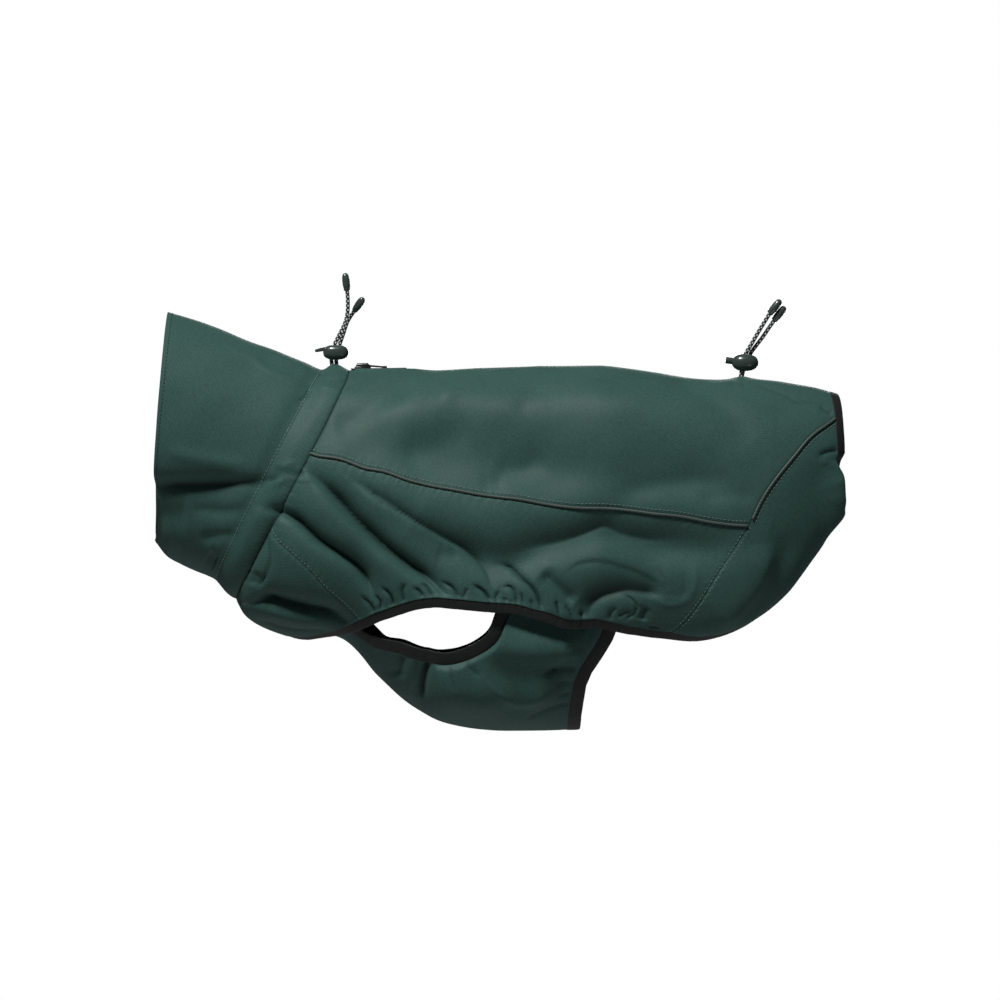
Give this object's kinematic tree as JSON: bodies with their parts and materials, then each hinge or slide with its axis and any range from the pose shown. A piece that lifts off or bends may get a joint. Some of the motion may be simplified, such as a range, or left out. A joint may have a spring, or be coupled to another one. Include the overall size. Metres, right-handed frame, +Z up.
{
  "type": "dog blanket coat",
  "caption": "Dog coat in worn, hollow form: high collar with a drawcord casing, piped back, side and rump panels, bound leg arches, belly panel and a short zip on the back.",
  "frame": {"origin": "inside of the back wall over the withers, on the back line", "axes": "+X to the tail, -Y to the dog's left side, +Z up; the garment is cut symmetrically about Y = 0"},
  "size_m": [0.5163, 0.1602, 0.3442],
  "materials": {
    "cloth": "dark bottle-green softshell with a slight satin sheen",
    "trim": "black elastic binding and zip tape, matt",
    "piping": "grey-green piping cord, matt",
    "cord": "black round elastic cord with pale flecks",
    "plastic": "dark green-black moulded plastic",
    "metal": "dark coated metal"
  },
  "bodies": {
    "coat": {"collar": "cloth", "neck_casing": "cloth", "back_panel": "cloth", "side_panel_left": "cloth", "side_panel_right": "cloth", "rump_panel_left": "cloth", "rump_panel_right": "cloth", "chest_panel": "cloth", "belly_panel": "cloth", "hem_binding_left": "trim", "hem_binding_right": "trim", "tail_binding": "trim", "belly_hole_binding_left": "trim", "belly_hole_binding_right": "trim", "belly_rear_binding": "trim", "zip_tape": "trim", "side_piping_left": "piping", "side_piping_right": "piping", "rear_piping_left": "piping", "rear_piping_right": "piping", "neck_cord_a": "cord", "neck_cord_b": "cord", "rear_cord_a": "cord", "rear_cord_b": "cord", "neck_cord_a_tip": "plastic", "neck_cord_b_tip": "plastic", "rear_cord_a_tip": "plastic", "rear_cord_b_tip": "plastic", "neck_cord_lock": "plastic", "neck_lock_lever": "plastic", "rear_cord_lock": "plastic", "rear_lock_button": "plastic", "zip_slider": "metal"},
    "pull_tab": {"zip_pull_tab": "metal"}
  },
  "joints": [
    {"name": "pull_tab_hinge", "type": "hinge", "parent": "coat", "child": "pull_tab", "pos_m": [-0.0773, 0, 0.00405], "axis": [0, -1, 0], "range_deg": [0, 150]}
  ]
}
